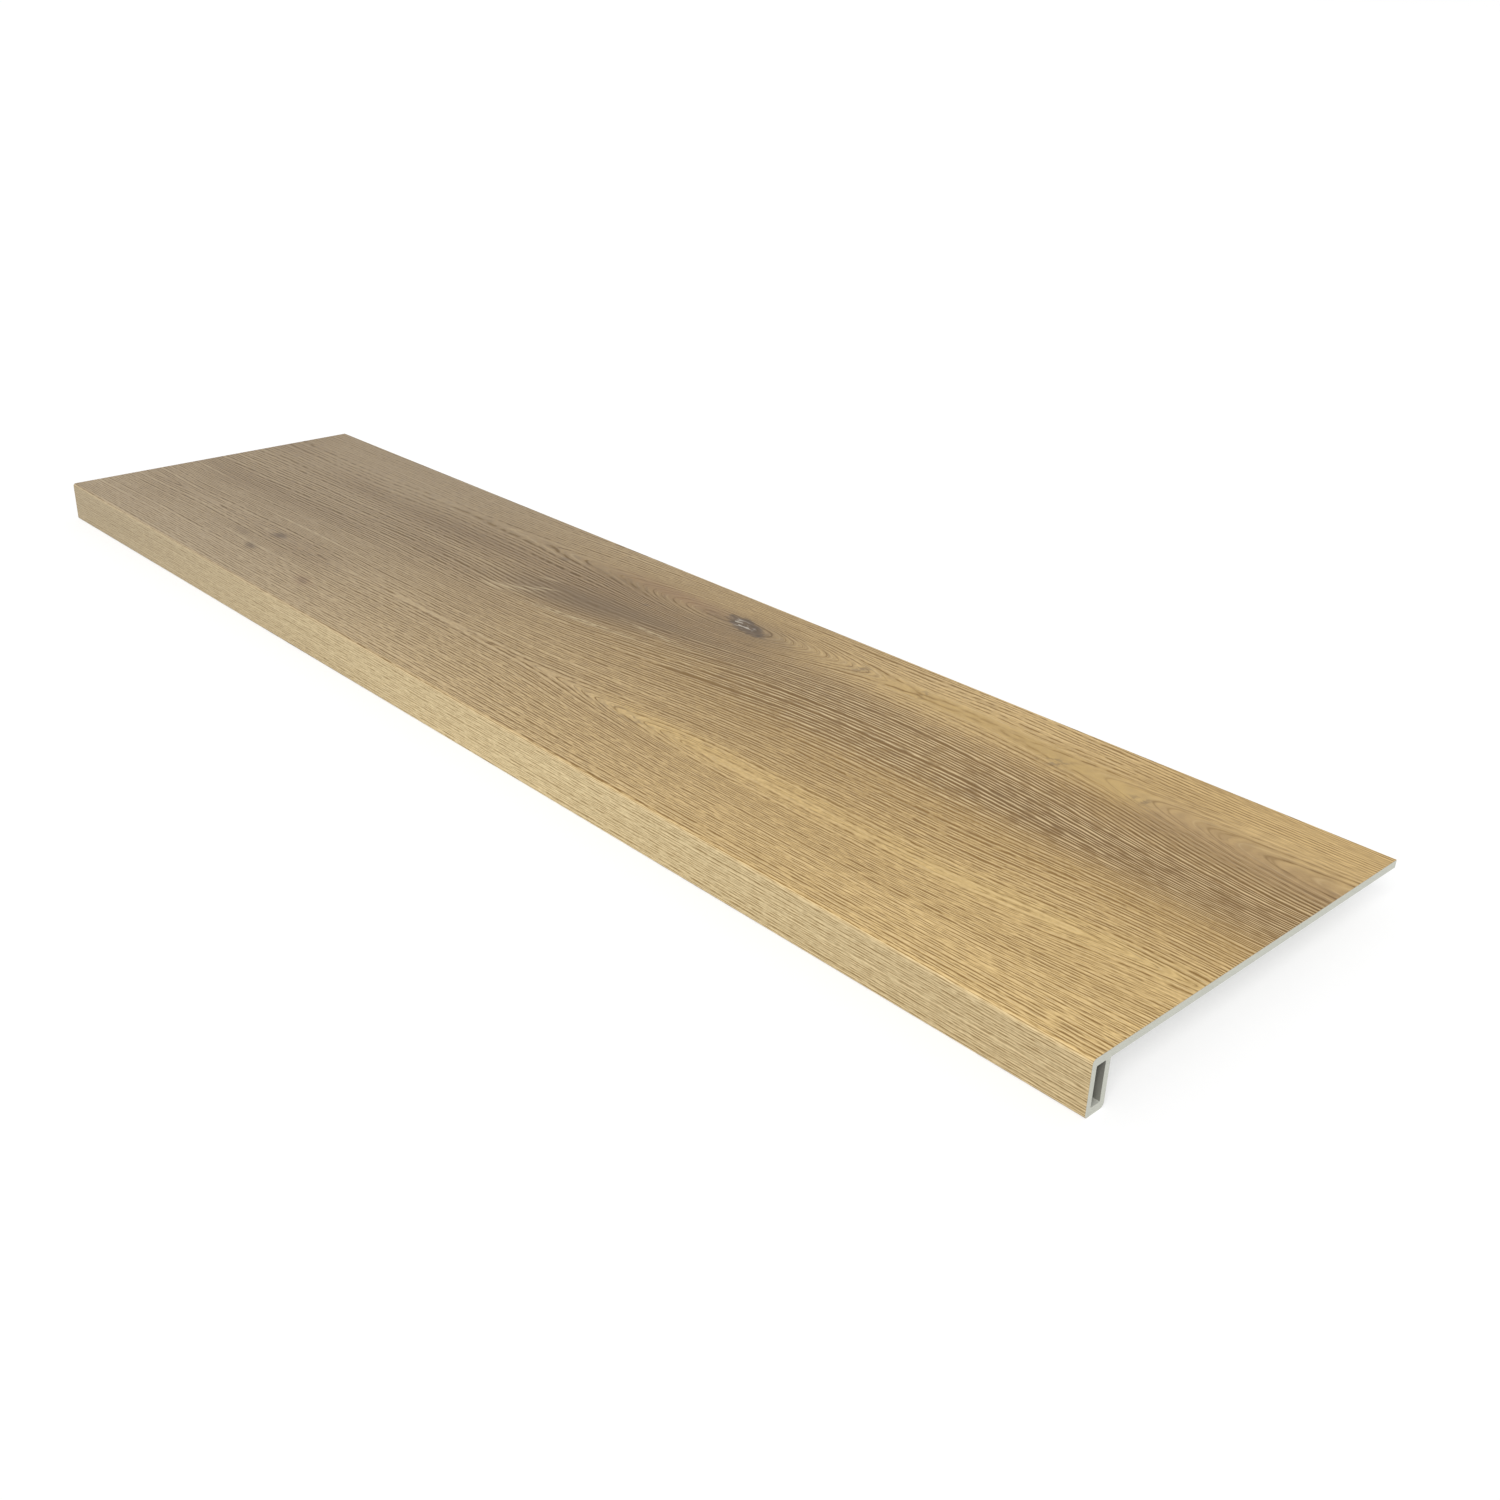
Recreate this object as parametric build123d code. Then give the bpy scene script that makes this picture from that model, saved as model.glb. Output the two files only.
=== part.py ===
from build123d import *
import os

# Stair tread cover: a flat plate with a hollow square nose along its front edge.
# Millimetres. X runs along the tread, -Y is the front, +Z is up.
# The origin is in the middle of the tread's outline, level with the sole of the nose.

# Overall size
length = 1200.0
depth = 300.0
height = 35.5

# Layers and walls
film = 0.3          # printed film with its clear wear layer
film_return = 1.5   # strip of the film that turns in under the foot of the nose
plate_core = 5.0    # core of the flat plate, under the film
nose_depth = 15.5   # front to back, over the film
front_wall = 3.7    # core of the front wall, behind the film
rear_wall = 4.0
sole_wall = 5.0

# Edges
top_edge_radius = 2.5    # eased edge that is stepped on, over the film
foot_front_radius = 2.0  # front foot of the nose, over the film
foot_rear_radius = 3.0
throat_radius = 0.8      # inside corner between plate and nose
hollow_radius = 0.6      # inside corners of the hollow

# Levels and lines that follow from them
front = -depth / 2
rear = depth / 2
underside = height - film - plate_core
nose_back = front + nose_depth
film_end = front + foot_front_radius + film_return
hollow_front = front + film + front_wall
hollow_back = nose_back - rear_wall

os.makedirs("parts", exist_ok=True)


def extruded(section):
    return extrude(section, amount=length / 2, both=True)


# Outline of the whole tread in section
with BuildSketch(Plane.YZ) as outline:
    with BuildLine():
        FilletPolyline(
            (rear, height),
            (front, height),
            (front, 0),
            (nose_back, 0),
            (nose_back, underside),
            (rear, underside),
            radius=[0, top_edge_radius, foot_front_radius, foot_rear_radius, throat_radius, 0],
            close=True,
        )
    make_face()

# Film: one band over the plate, around the eased edge, down the front and around the foot
with BuildSketch(Plane.YZ) as film_band:
    with BuildLine():
        FilletPolyline(
            (rear, height),
            (front, height),
            (front, 0),
            (film_end, 0),
            (film_end, film),
            (front + film, film),
            (front + film, height - film),
            (rear, height - film),
            radius=[
                0,
                top_edge_radius,
                foot_front_radius,
                0,
                0,
                foot_front_radius - film,
                top_edge_radius - film,
                0,
            ],
            close=True,
        )
    make_face()

# Hollow of the nose, open at both cut ends
with BuildSketch(Plane.YZ) as hollow:
    with BuildLine():
        FilletPolyline(
            (hollow_front, sole_wall),
            (hollow_back, sole_wall),
            (hollow_back, underside),
            (hollow_front, underside),
            radius=hollow_radius,
            close=True,
        )
    make_face()

decor_film = extruded(film_band.sketch)
core_profile = extruded(outline.sketch - film_band.sketch - hollow.sketch)

export_step(core_profile, "parts/core_profile.step")
export_step(decor_film, "parts/decor_film.step")
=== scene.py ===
import math

import bpy
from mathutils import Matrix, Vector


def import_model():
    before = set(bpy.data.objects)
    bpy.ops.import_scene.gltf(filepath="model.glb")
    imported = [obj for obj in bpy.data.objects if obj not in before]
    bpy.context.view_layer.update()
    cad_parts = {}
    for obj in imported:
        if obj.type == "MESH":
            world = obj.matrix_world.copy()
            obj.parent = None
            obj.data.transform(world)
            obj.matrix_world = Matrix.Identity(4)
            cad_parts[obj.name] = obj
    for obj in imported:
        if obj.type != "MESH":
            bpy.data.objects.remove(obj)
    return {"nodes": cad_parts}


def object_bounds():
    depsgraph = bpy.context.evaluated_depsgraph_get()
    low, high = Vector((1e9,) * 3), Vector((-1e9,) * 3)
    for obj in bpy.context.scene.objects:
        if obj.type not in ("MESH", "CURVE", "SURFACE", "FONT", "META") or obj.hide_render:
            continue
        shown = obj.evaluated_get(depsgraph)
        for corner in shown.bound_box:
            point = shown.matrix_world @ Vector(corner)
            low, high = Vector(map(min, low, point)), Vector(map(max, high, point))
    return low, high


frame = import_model()
cad_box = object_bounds()
LOW, HIGH = cad_box

MM = 1000.0  # in a metre
WHITE = (1.0, 1.0, 1.0, 1.0)


# Sums of node sockets: a + b, a * 2 and so on each add a Math node to the tree in use

class Sock:
    tree = None

    def __init__(self, out):
        self.out = out

    def __add__(self, b): return calc("ADD", self, b)
    def __radd__(self, b): return calc("ADD", b, self)
    def __sub__(self, b): return calc("SUBTRACT", self, b)
    def __rsub__(self, b): return calc("SUBTRACT", b, self)
    def __mul__(self, b): return calc("MULTIPLY", self, b)
    def __rmul__(self, b): return calc("MULTIPLY", b, self)
    def __truediv__(self, b): return calc("DIVIDE", self, b)


def node(kind, **settings):
    made = Sock.tree.nodes.new(kind)
    for key, value in settings.items():
        setattr(made, key, value)
    return made


def put(socket, value):
    if isinstance(value, Sock):
        Sock.tree.links.new(value.out, socket)
    else:
        socket.default_value = value


def calc(operation, *values):
    n = node("ShaderNodeMath", operation=operation)
    for socket, value in zip(n.inputs, values):
        put(socket, value)
    return Sock(n.outputs[0])


def ramp(x, low, high, start=0.0, end=1.0):
    """Smoothly from start to end while x goes from low to high."""
    n = node("ShaderNodeMapRange", interpolation_type="SMOOTHSTEP")
    for socket, value in zip(n.inputs, (x, low, high, start, end)):
        put(socket, value)
    return Sock(n.outputs[0])


def bell(x):
    """1 at x = 0 and falling off smoothly to both sides."""
    return calc("POWER", 0.3679, x * x)


def most(a, b): return calc("MAXIMUM", a, b)
def least(a, b): return calc("MINIMUM", a, b)


def noise(x, y, detail=2.0, rough=0.5, z=None):
    """Cloudy noise from 0 to 1, about 0.5, with features about 1 unit across."""
    n = node("ShaderNodeTexNoise", noise_dimensions="2D" if z is None else "3D")
    c = node("ShaderNodeCombineXYZ")
    put(c.inputs[0], x)
    put(c.inputs[1], y)
    put(c.inputs[2], 0.0 if z is None else z)
    Sock.tree.links.new(c.outputs[0], n.inputs["Vector"])
    n.inputs["Scale"].default_value = 1.0
    n.inputs["Detail"].default_value = detail
    n.inputs["Roughness"].default_value = rough
    return Sock(n.outputs[0])


def mix(share, a, b, blend="MIX"):
    n = node("ShaderNodeMix", data_type="RGBA", blend_type=blend, clamp_factor=False)
    put(n.inputs[0], share)
    put(n.inputs[6], a)
    put(n.inputs[7], b)
    return Sock(n.outputs[2])


def times(colour, factor):
    n = node("ShaderNodeVectorMath", operation="SCALE")
    put(n.inputs[0], colour)
    put(n.inputs[3], factor)
    return Sock(n.outputs[0])


def rgb(r, g, b):
    """A colour written as it is seen on a screen, 0 to 255."""
    def linear(c):
        c /= 255.0
        return c / 12.92 if c <= 0.04045 else ((c + 0.055) / 1.055) ** 2.4
    return (linear(r), linear(g), linear(b), 1.0)


def material(name):
    m = bpy.data.materials.new(name)
    m.use_nodes = True
    Sock.tree = m.node_tree
    Sock.tree.nodes.clear()
    shader = node("ShaderNodeBsdfPrincipled")
    out = node("ShaderNodeOutputMaterial")
    Sock.tree.links.new(shader.outputs[0], out.inputs[0])
    return m, shader


def place():
    """Object coordinates in millimetres, and the surface normal."""
    c = node("ShaderNodeTexCoord")

    def split(output):
        s = node("ShaderNodeSeparateXYZ")
        Sock.tree.links.new(c.outputs[output], s.inputs[0])
        return [Sock(axis) for axis in s.outputs]

    return [axis * MM for axis in split("Object")], split("Normal")


def bump(shader, height, distance, strength):
    b = node("ShaderNodeBump")
    b.inputs["Strength"].default_value = strength
    b.inputs["Distance"].default_value = distance
    put(b.inputs["Height"], height)
    Sock.tree.links.new(b.outputs[0], shader.inputs["Normal"])


# Oak print: u runs along the tread, v from the rear edge (300) over the eased edge (0) and down
# the front, both in millimetres

EYE_LINE = 79.0          # v of the long eye near the front
KNOT = (86.0, 254.5)     # u and v
KNOT_HALF = (26.5, 10.0)
KNOT_LEAN = 0.22


def oak_print():
    m, shader = material("oak_print")
    (u, y, z), (nx, _, _) = place()
    v = (y - LOW[1] * MM) + (z - HIGH[2] * MM)

    spot = node("ShaderNodeCombineXYZ")
    put(spot.inputs[0], u)
    put(spot.inputs[1], v)

    def blob(cu, cv, a, b, turn=0.0):
        """1 at that place, falling to 0 around an ellipse of those half axes, turned in degrees."""
        n = node("ShaderNodeMapping", vector_type="TEXTURE")
        Sock.tree.links.new(spot.outputs[0], n.inputs["Vector"])
        n.inputs["Location"].default_value = (cu, cv, 0.0)
        n.inputs["Rotation"].default_value = (0.0, 0.0, math.radians(turn))
        n.inputs["Scale"].default_value = (a, b, 1.0)
        far = node("ShaderNodeVectorMath", operation="LENGTH")
        Sock.tree.links.new(n.outputs[0], far.inputs[0])
        return ramp(Sock(far.outputs["Value"]), 1.75, 0.0)

    def spread(cu, cv, a, b, h, slope=0.0):
        """Pushes the lines apart around an eye."""
        du = u - cu
        dv = (v - cv - du * slope) / b
        return bell(du / a) * bell(dv) * dv * h

    # Height whose contours are the lines of the grain: first the lines that run through
    drift = noise(u / 330.0, v / 120.0, 0.0)
    ripple = noise(u / 80.0 + 7.0, v / 30.0 + 3.0, 0.0)
    stray = ((drift - 0.5) * 10.0 + (ripple - 0.5) * 2.5) * ramp(v, -4.0, 60.0, 0.12, 1.0)
    rise = ramp(u, -60.0, 290.0, 20.0, 0.0) * ramp(v, 185.0, 320.0, 1.0, 0.0)
    fall = ramp(u, -60.0, 290.0, 0.0, 14.0) * ramp(v, 185.0, 262.0, 1.0, 0.0)
    rise = (rise - fall) * ramp(v, 80.0, 150.0)
    rise = rise + stray - spread(-45.0, 186.0, 80.0, 22.0, 8.0, 0.1)
    dip = v - EYE_LINE - ramp(u, 400.0, 600.0) * bell((v - 90.0) / 45.0) * 14.0
    slope = calc("SQRT", dip * dip + 9.0)
    bowl = ramp(u, 10.0, 270.0) * ramp(u, 380.0, 900.0, 1.0, 0.0)
    run = slope + 89.0 + rise - bowl * bell(dip / 40.0) * 26.0
    run = run + most(70.0 - v, 0.0) * 0.3 - least(v, 0.0) * 0.6

    # then a fold along the rear, with loops round the knot and arches at the right end
    back = 262.0 - ramp(u, 300.0, 600.0) * 26.0 - ramp(u, 60.0, 230.0, 9.0, 0.0)
    t = v - back
    flat = ramp(u, -200.0, 40.0, 4.0, 14.0) + ramp(u, 330.0, 600.0, 0.0, 44.0)
    reach = calc("SQRT", t * t + flat * flat)
    crest = ramp(u, 380.0, 640.0, 249.0, 271.0)
    span = back - 150.0
    press = (crest - 160.0) / (calc("SQRT", span * span + flat * flat) - flat)
    fold = crest - (reach - flat) * press + rise
    fold = fold + bell((u - 72.0) / 100.0) * bell(t / 30.0) * 34.0
    share = ramp(v, 125.0, 175.0)
    g = run + (fold - run) * share
    calm = 1.0 - ramp(u, -60.0, -200.0) * ramp(v, 185.0, 210.0) * 0.4
    clear = blob(-35.0, 190.0, 90.0, 24.0, 5.0) + blob(-45.0, 252.0, 70.0, 18.0)
    calm = calm * (1.0 - least(clear, 1.0) * 0.7)

    # How steep that height is: lines keep their width where contours lie far apart
    level_run = calc("ABSOLUTE", dip) / slope + ramp(v, 80.0, 60.0, 0.1, 0.4)
    level_fold = calc("ABSOLUTE", t) / reach * press + 0.12
    steep = level_run + (level_fold - level_run) * share

    # Short streaks in rows along the contours, and unbroken lines round the knot and in the arches
    arches = ramp(u, 390.0, 470.0) * ramp(v, 195.0, 220.0)
    wander = noise(u / 220.0 + 5.0, g / 8.0, 0.0) * (1.0 - arches) * 1.3
    side = calc("GREATER_THAN", v, EYE_LINE) * 770.0 + calc("GREATER_THAN", t, 0.0) * 430.0
    wobble = noise((u + side) / 13.0 + 3.0, g / 5.0, 0.0) - 0.5

    def rows(pitch, seed, width, length, rest):
        """Rows of streaks that far apart: place across a row, half a streak, its strength."""
        w = g / pitch + wander + wobble * (0.6 / pitch)
        row = calc("FLOOR", w)
        patchy = noise((u + side) / length + row * 17.3, row * 3.7 + seed, 0.0)
        live = ramp(patchy, 0.28, 0.60, rest, 1.0)
        half = least(most(steep * (width / pitch), 0.04), 0.18)
        return w - row - 0.5, half, live

    def streaks(across, half, live):
        return bell(across / half) * live

    def between(across, half, live):
        return bell((0.5 - calc("ABSOLUTE", across)) / half) * live

    main = rows(3.5, 5.0, 0.55, 12.0, 0.25)
    dark = streaks(*main)
    pale = between(*main)
    fine = streaks(*rows(2.1, 17.0, 0.36, 9.0, 0.1))
    deep = streaks(*rows(6.1, 31.0, 0.70, 34.0, 0.0))
    low = ramp(v, 130.0, 80.0, 0.4, 1.0)
    turn = calc("FRACT", g / 3.9 + 0.808)
    ring = bell((turn - 0.5) / least(most(steep * 0.14, 0.03), 0.2))
    ring = ring * most(arches, blob(112.0, 252.0, 62.0, 22.0) * 0.8)
    dash = noise((u + side) / 10.0, g / 1.2 + 7.0, 0.0)
    band = noise(u / 300.0, g / 12.0 + 5.0, 0.0)
    grit = noise(u / 3.2, v / 1.2 + 40.0, 0.0)

    right = ramp(u, -420.0, 560.0)
    top = ramp(v, -4.0, 2.0)
    cloud = noise(u / 230.0 + 2.0, v / 62.0 + 9.0, 1.0, 0.5)

    # Where the print is smoky, golden or clear
    dense = ramp(v, 140.0, 172.0) * ramp(v, 212.0, 248.0, 1.0, 0.0)
    dense = dense * ramp(u, 60.0, 260.0) * ramp(u, 440.0, 560.0, 1.0, 0.9)
    strip = ramp(u, 340.0, 400.0) * bell((v - 182.0) / 20.0)
    arch = ramp(u, 445.0, 480.0) * bell((v - 238.0 + (u - 520.0) * 0.08) / 23.0)
    smoke = blob(-50.0, 186.0, 80.0, 22.0, 5.0) * 0.6 + blob(-270.0, 210.0, 105.0, 22.0) * 0.5
    smoke = smoke + blob(-490.0, 140.0, 150.0, 20.0) * 0.5 + blob(-300.0, 76.0, 75.0, 18.0) * 0.6
    smoke = smoke + blob(-110.0, 226.0, 170.0, 26.0) * 0.45 + blob(60.0, 222.0, 150.0, 36.0) * 0.55
    smoke = smoke + blob(-150.0, 202.0, 240.0, 34.0) * 0.25 + dense * 0.4 + strip * 0.28
    smoke = smoke + ramp(cloud, 0.50, 0.78) * (1.0 - right) * 0.5 + arch * 0.7
    smoke = least(smoke, 1.0) * top

    golden = ramp(u, 170.0, 300.0) * bell((t + 1.0) / 11.0) * (1.0 - arch)
    yellow = ramp(u, 80.0, 200.0) * bell((dip - 4.0) / 12.0) * ramp(band, 0.30, 0.55, 0.45, 1.0)
    warm = ramp(v, 120.0, 60.0) * ramp(u, 100.0, 560.0)
    gold = least(golden + yellow * 0.8 + warm * 0.25, 1.0) * top

    # Tone darker and greyer toward the left end: partly the print's own tone, partly painted shade
    # for light falling off toward that end
    tone = mix(right, rgb(144, 125, 97), rgb(193, 162, 108))
    tone = mix(gold, tone, rgb(193, 163, 107))
    tone = mix(smoke, tone, mix(right, rgb(124, 104, 77), rgb(146, 118, 80)))
    # The front face is also darker toward the left end: partly the print's tone, partly painted
    # shade
    face = mix(ramp(u, -600.0, 180.0), rgb(146, 129, 99), rgb(181, 161, 120))
    face = mix(ramp(u, 300.0, 600.0), face, rgb(174, 153, 113))
    tone = mix(top, face, tone)

    # How light it is from place to place, before the lines
    level = 1.0 + ramp(v, 60.0, 15.0) * top * 0.10 - bell((v - 165.0) / 50.0) * 0.15
    level = level - dense * 0.20 + arch * 0.2 + golden * 0.08
    corner = ramp(u, 400.0, 450.0) * ramp(v, 110.0, 95.0)
    level = level - ramp(u, 60.0, 200.0) * (1.0 - corner) * top * 0.06
    level = level + ramp(v, 262.0, 280.0) * ramp(u, 200.0, 400.0) * 0.08
    level = level - bell((u - 60.0) / 160.0) * ramp(v, 100.0, 200.0) * 0.08
    level = level + ramp(u, 360.0, 120.0) * ramp(v, 170.0, 60.0) * 0.05 + ramp(v, 60.0, 30.0) * 0.03
    level = level - ramp(u, 60.0, -60.0) * ramp(v, 185.0, 215.0) * 0.04
    level = level - bell((u - 110.0) / 120.0) * bell((v - 125.0) / 45.0) * 0.06
    level = level - blob(60.0, 266.0, 120.0, 26.0) * 0.10
    level = level - blob(300.0, 130.0, 130.0, 32.0) * 0.10 - blob(310.0, 258.0, 110.0, 12.0) * 0.08
    level = level - strip * 0.07 - ramp(u, 340.0, 400.0) * bell((v - 142.0) / 8.0) * 0.12
    level = level - bell((u - 395.0) / 40.0) * ramp(v, 190.0, 215.0) * 0.09
    level = level + ramp(u, 425.0, 460.0) * bell((v - 215.0) / 14.0) * 0.18
    behind = bell((v - 264.0) / 8.0) * 0.10 + ramp(v, 254.0, 262.0) * 0.09
    level = level + ramp(u, 480.0, 530.0) * behind
    level = level - bell((u - 520.0) / 32.0) * bell((v - 249.0) / 7.0) * 0.09

    # Lines and pores, dark and pale
    plain = 1.0 - least(golden * 0.65 + gold * 0.1 + arches * 0.55, 1.0)
    force = plain * calm
    lens = ramp(u, 40.0, 200.0) * bell((v - 80.0) / 17.0)
    lens = 1.0 - lens * (0.32 + bell((u - 300.0) / 100.0) * 0.18)
    hushed = 1.0 - ramp(u, 120.0, -60.0) * ramp(v, 165.0, 195.0) * 0.75
    lined = dark * (0.85 + dense * 0.6) + fine * low * ramp(u, -200.0, 250.0, 0.5, 0.75)
    lined = lined + deep * ramp(v, 70.0, 110.0) * hushed * 0.32
    lined = lined * (0.66 + top * 0.34) * ramp(u, -420.0, -60.0, 0.75, 1.0)
    lined = lined * (1.0 + bell((u - 100.0) / 110.0) * ramp(v, 75.0, 45.0) * top * 0.25)
    shade = level + 0.22 * force + ((grit - 0.5) * 0.3 - lined * lens) * force
    shade = shade + (dash - 0.5) * (0.42 - golden * 0.25)
    shade = shade + (band - 0.5) * 0.15 * calm - ring * (0.34 + arches * 0.04)
    shade = most(shade, 0.5)
    limed = pale * (0.32 + top * 0.08 + dense * ramp(u, 300.0, 380.0, 0.5, 0.42)) * force * lens

    # Knots and small spots
    k1 = (u - KNOT[0]) / KNOT_HALF[0]
    k2 = ((v - KNOT[1]) + (u - KNOT[0]) * KNOT_LEAN) / KNOT_HALF[1]
    crumb = noise(u / 9.0, v / 5.0, 2.0, 0.6)
    knot = ramp(k1 * k1 + k2 * k2 + (crumb - 0.5) * 1.1, 1.25, 0.45)
    halo = blob(92.0, 252.0, 46.0, 17.0) * 0.5
    scar = ramp(noise(u / 7.0 + 3.0, v / 2.2, 0.0), 0.58, 0.68)
    scar = scar * blob(80.0, 255.0, 12.0, 4.5, -11.0)
    spots = blob(-337.0, 79.0, 9.0, 5.5) * 0.85 + blob(-329.0, 46.0, 9.0, 4.0, -11.0) * 0.7
    spots = spots + blob(-370.0, 60.0, 16.0, 4.0, -8.0) * 0.35
    spots = spots + blob(-129.0, 239.0, 6.0, 3.5) * 0.55 + blob(0.0, 223.0, 2.5, 2.0) * 0.6
    spots = spots + blob(-222.0, 37.0, 9.0, 3.5, -16.0) * 0.4
    flecks = blob(203.0, 262.0, 12.0, 7.0) + blob(262.0, 262.0, 7.0, 8.0)
    flecks = flecks + blob(390.0, 248.0, 12.0, 7.0) + blob(458.0, 246.0, 9.0, 6.0)
    flecks = flecks + blob(150.0, 76.0, 40.0, 6.0) * 0.6
    spots = spots + flecks * ramp(crumb, 0.46, 0.66) * 0.55

    # Smoky patch with the pale strokes beside it, and a reddish flush
    soot = blob(-48.0, 185.0, 84.0, 20.0, 6.0) + blob(45.0, 206.0, 70.0, 11.0, 4.0) * 0.45
    soot = least(soot, 1.0) * ramp(dash, 0.30, 0.66, 0.5, 0.9) - blob(-68.0, 186.0, 16.0, 6.0) * 0.2
    chalk = blob(-116.0, 153.0, 14.0, 1.1, -2.0) + blob(-108.0, 160.0, 17.0, 1.1, 4.0)
    chalk = chalk + blob(-97.0, 167.0, 15.0, 1.0, 10.0) + blob(-88.0, 175.0, 12.0, 1.0, 16.0)
    broken = blob(-8.0, 161.0, 62.0, 2.4, 8.0) + blob(55.0, 187.5, 34.0, 1.8)
    chalk = chalk + blob(-80.0, 183.0, 10.0, 0.9, 20.0) + broken * ramp(dash, 0.36, 0.56)
    chalk = chalk + blob(-97.0, 199.0, 11.0, 1.6, 12.0) * 0.6
    flush = blob(5.0, 258.0, 70.0, 9.0) * 0.5 + blob(-222.0, 37.0, 14.0, 6.0, -16.0) * 0.4

    # All of it put together
    stain = mix(2.0 - shade * 2.0, WHITE, (0.5, 0.42, 0.27, 1.0))
    colour = mix(1.0, tone, stain, "MULTIPLY")
    colour = mix(soot * 0.75, colour, rgb(109, 92, 70))
    colour = mix(flush, colour, rgb(132, 100, 74))
    colour = mix(least(chalk * 0.6, 0.6), colour, rgb(206, 188, 152))
    colour = mix(limed, colour, mix(right, rgb(194, 176, 144), rgb(236, 211, 164)))
    colour = mix(least(halo + spots, 0.9), colour, rgb(96, 80, 64))
    colour = mix(knot * 0.92, colour, mix(crumb, rgb(66, 54, 44), rgb(112, 94, 74)))
    colour = mix(least(scar * 1.5, 0.8), colour, rgb(190, 182, 168))
    # Painted highlight along the eased front edge: a thin pale line, broken up by the dash noise
    # and paler toward the right end
    edge_highlight = bell((v + 1.4) / 1.2) * ramp(dash, 0.25, 0.6, 0.4, 1.0)
    colour = mix(edge_highlight * 0.25, colour, mix(right, rgb(212, 194, 156), rgb(238, 219, 178)))
    cut = ramp(calc("ABSOLUTE", nx), 0.5, 0.8)
    colour = mix(cut, colour, rgb(176, 166, 146))
    put(shader.inputs["Base Color"], colour)

    brushed = noise(u / 40.0, v / 1.3, 0.0)
    put(shader.inputs["Roughness"], 0.48 + (dash - 0.5) * 0.2 + dark * 0.06)
    shader.inputs["Specular IOR Level"].default_value = 0.22
    bump(shader, brushed, 0.00025, 0.35)
    return m


# Core: grey-green rigid vinyl, drawn lengthwise and sawn square at the ends

HOLLOW_MIDDLE = (-142.25, 17.6)  # of the nose's hollow in section, Y and Z in millimetres
HOLLOW_HALF = (3.75, 12.6)


def vinyl_core():
    m, shader = material("vinyl_core")
    (x, y, z), (nx, _, nz) = place()
    cut = ramp(calc("ABSOLUTE", nx), 0.5, 0.8)
    grains = noise(x / 1.1, y / 1.1, 2.0, 0.6, z / 1.1)
    patch = noise(x / 60.0, y / 22.0, 2.0, 0.5, z / 22.0)
    drawn = noise(x / 180.0, y / 1.4, 2.0, 0.5, z / 1.4)
    sawn = noise(y / 14.0, (z + y * 0.35) / 0.7, 2.0, 0.5)
    marks = drawn + (sawn - drawn) * cut
    shade = 1.0 + (grains - 0.5) * 0.16 + (patch - 0.5) * 0.10 + (marks - 0.5) * 0.12
    # Painted shade inside the nose's hollow: darker further in from the sawn ends and toward its
    # top, left lighter on the upward-facing floor near the ends where light reaches in
    across = calc("ABSOLUTE", y - HOLLOW_MIDDLE[0]) - HOLLOW_HALF[0]
    upright = calc("ABSOLUTE", z - HOLLOW_MIDDLE[1]) - HOLLOW_HALF[1]
    inside = ramp(most(across, upright), 1.2, 0.4) * (1.0 - cut)
    floor_lit = ramp(nz, 0.5, 0.8) * ramp(calc("ABSOLUTE", x), 560.0, 598.0)
    deep = inside * ramp(calc("ABSOLUTE", x), 599.0, 575.0, 0.68, 0.92) * (1.0 - floor_lit)
    colour = times(mix(cut, rgb(186, 187, 177), rgb(199, 200, 189)), shade)
    # Painted shade colours for the hollow, darker higher up
    colour = mix(deep, colour, mix(ramp(z, 8.0, 28.0), rgb(84, 82, 72), rgb(52, 45, 36)))
    put(shader.inputs["Base Color"], colour)
    put(shader.inputs["Roughness"], 0.62 + (marks - 0.5) * 0.18)
    shader.inputs["Specular IOR Level"].default_value = 0.25
    bump(shader, marks + grains * 0.5, 0.00012, 0.4)
    return m


def dress(name, made):
    slots = frame["nodes"][name].data.materials
    slots.clear()
    slots.append(made)


dress("decor_film", oak_print())
dress("core_profile", vinyl_core())


# Stage: a pale floor, a white world and one soft sun

FLOOR_HALF = 30.0  # metres


def background_rays():
    """1 for the rays that should see plain white, 0 for the rays that light the tread."""
    path = node("ShaderNodeLightPath")
    sharp = most(Sock(path.outputs["Is Glossy Ray"]), Sock(path.outputs["Is Transmission Ray"]))
    return most(Sock(path.outputs["Is Camera Ray"]), sharp)


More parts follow.
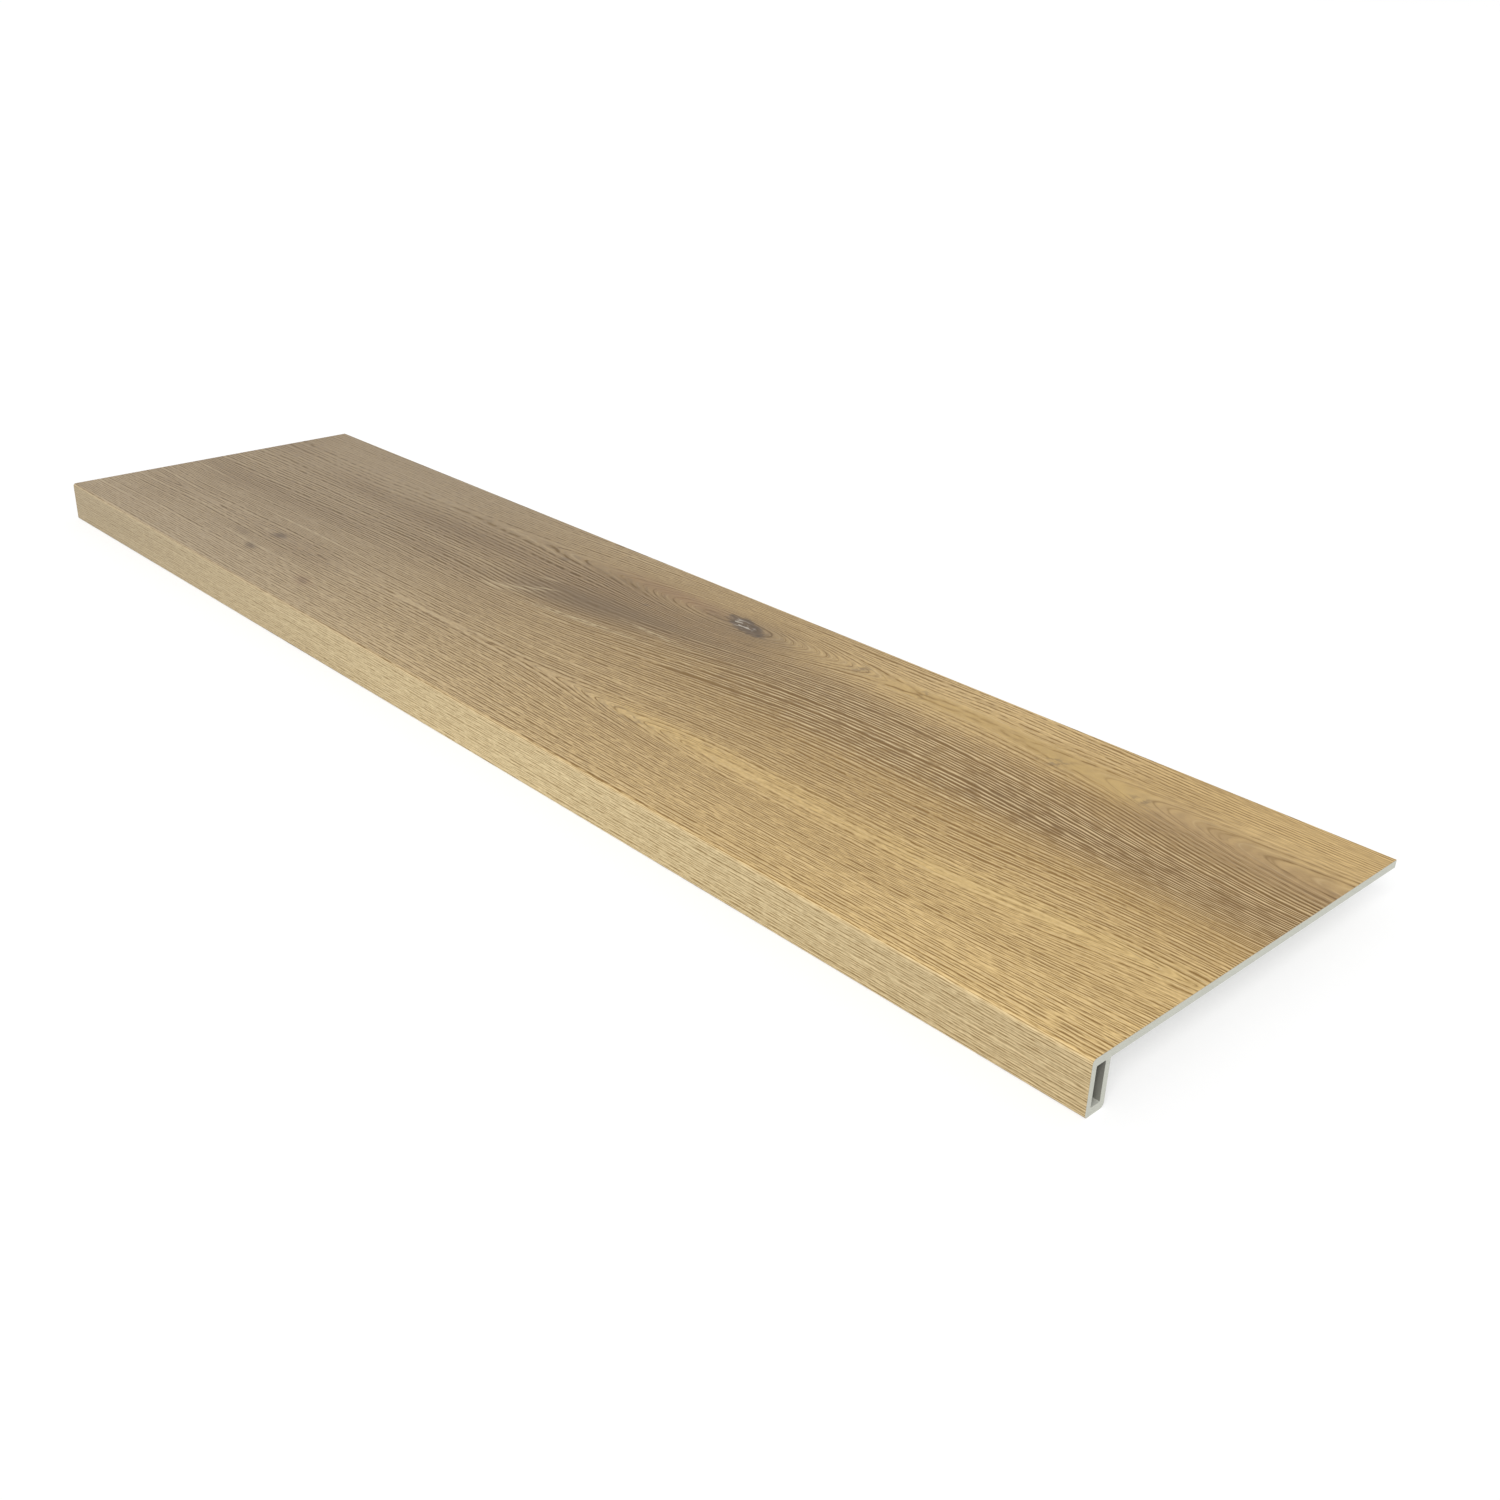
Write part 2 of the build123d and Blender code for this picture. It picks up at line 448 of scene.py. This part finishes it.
def floor():
    a = FLOOR_HALF
    mesh = bpy.data.meshes.new("floor")
    corners = [(-a, -a, 0.0), (a, -a, 0.0), (a, a, 0.0), (-a, a, 0.0)]
    mesh.from_pydata(corners, [], [(0, 1, 2, 3)])
    made = bpy.data.objects.new("floor", mesh)
    bpy.context.scene.collection.objects.link(made)
    m, shader = material("floor")
    seen = background_rays()
    put(shader.inputs["Base Color"], mix(seen, (0.86, 0.86, 0.86, 1.0), (0.5, 0.5, 0.5, 1.0)))
    shader.inputs["Roughness"].default_value = 0.9
    shader.inputs["Specular IOR Level"].default_value = 0.0
    shader.inputs["Emission Color"].default_value = WHITE
    put(shader.inputs["Emission Strength"], seen * 0.53)
    mesh.materials.append(m)


def world():
    w = bpy.data.worlds.new("studio")
    bpy.context.scene.world = w
    w.use_nodes = True
    Sock.tree = w.node_tree
    Sock.tree.nodes.clear()
    back = node("ShaderNodeBackground")
    out = node("ShaderNodeOutputWorld")
    Sock.tree.links.new(back.outputs[0], out.inputs[0])
    seen = background_rays()
    back.inputs["Color"].default_value = WHITE
    put(back.inputs["Strength"], 0.55 + seen * 0.45)


def sun(name, azimuth, height, spread, strength):
    """Soft light from an azimuth, counted from the front to the right, and a height in degrees."""
    data = bpy.data.lights.new(name, "SUN")
    data.angle = math.radians(spread)
    data.energy = strength
    made = bpy.data.objects.new(name, data)
    made.rotation_euler = (math.radians(90.0 - height), 0.0, math.radians(azimuth))
    bpy.context.scene.collection.objects.link(made)


floor()
world()
sun("key", 30.0, 40.0, 30.0, 2.2)


# Camera at the photograph's viewing angle, fitted to the edges and corners of the tread

SENSOR = 36.0
LENS = 38.912
SHIFT = (0.0292, -0.0061)
VIEWPOINT = (0.9414, -0.7187, 0.5086)
TURN = (64.196, -1.164, 48.117)  # degrees

camera = bpy.data.objects.new("camera", bpy.data.cameras.new("camera"))
camera.data.sensor_width = SENSOR
camera.data.lens = LENS
camera.data.shift_x, camera.data.shift_y = SHIFT
camera.data.clip_start = 0.01
camera.location = VIEWPOINT
camera.rotation_euler = [math.radians(a) for a in TURN]
bpy.context.scene.collection.objects.link(camera)
bpy.context.scene.camera = camera
bpy.context.scene.view_settings.view_transform = "Standard"
